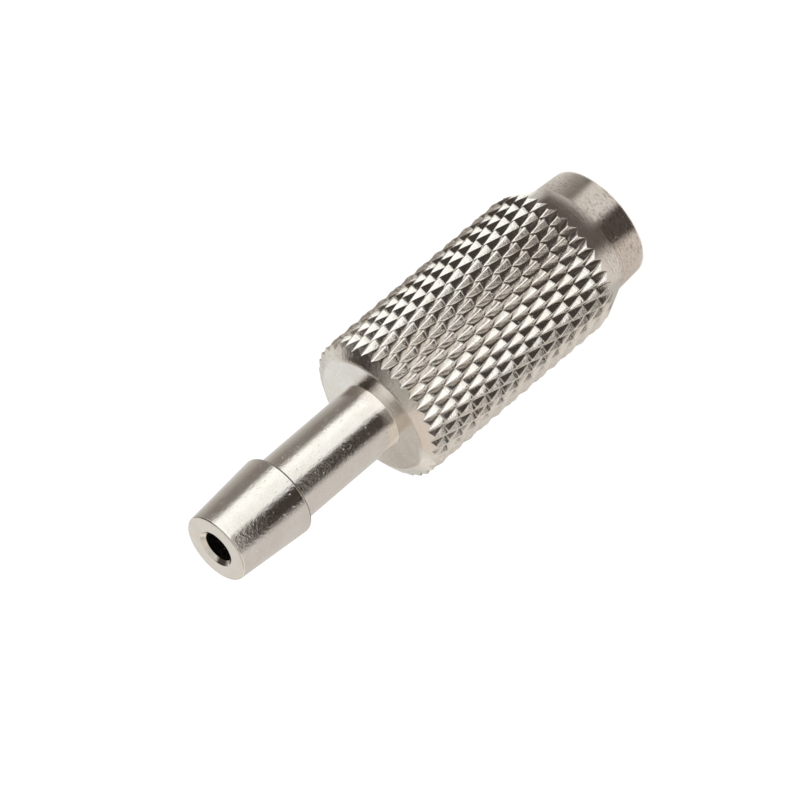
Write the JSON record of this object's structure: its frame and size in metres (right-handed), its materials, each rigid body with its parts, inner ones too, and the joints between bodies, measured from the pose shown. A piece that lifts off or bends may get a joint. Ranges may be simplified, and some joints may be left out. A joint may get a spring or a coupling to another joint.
{
  "type": "blood pressure hose connector",
  "caption": "Nickel-plated turned metal hose connector: single smooth hose barb, diamond-knurled grip, smooth nose with a sealed push-in socket.",
  "frame": {"origin": "centre of the nose's end face, on which the connector stands", "axes": "+Z along the body's axis, from the nose to the hose barb's tip"},
  "size_m": [0.01, 0.01, 0.0342],
  "materials": {
    "nickel_plate": "bright nickel plating over turned brass, slightly warm, fine machining marks",
    "seal_rubber": "matt black nitrile rubber"
  },
  "bodies": {
    "root": {"connector_body": "nickel_plate", "seal_ring": "seal_rubber"}
  },
  "joints": []
}
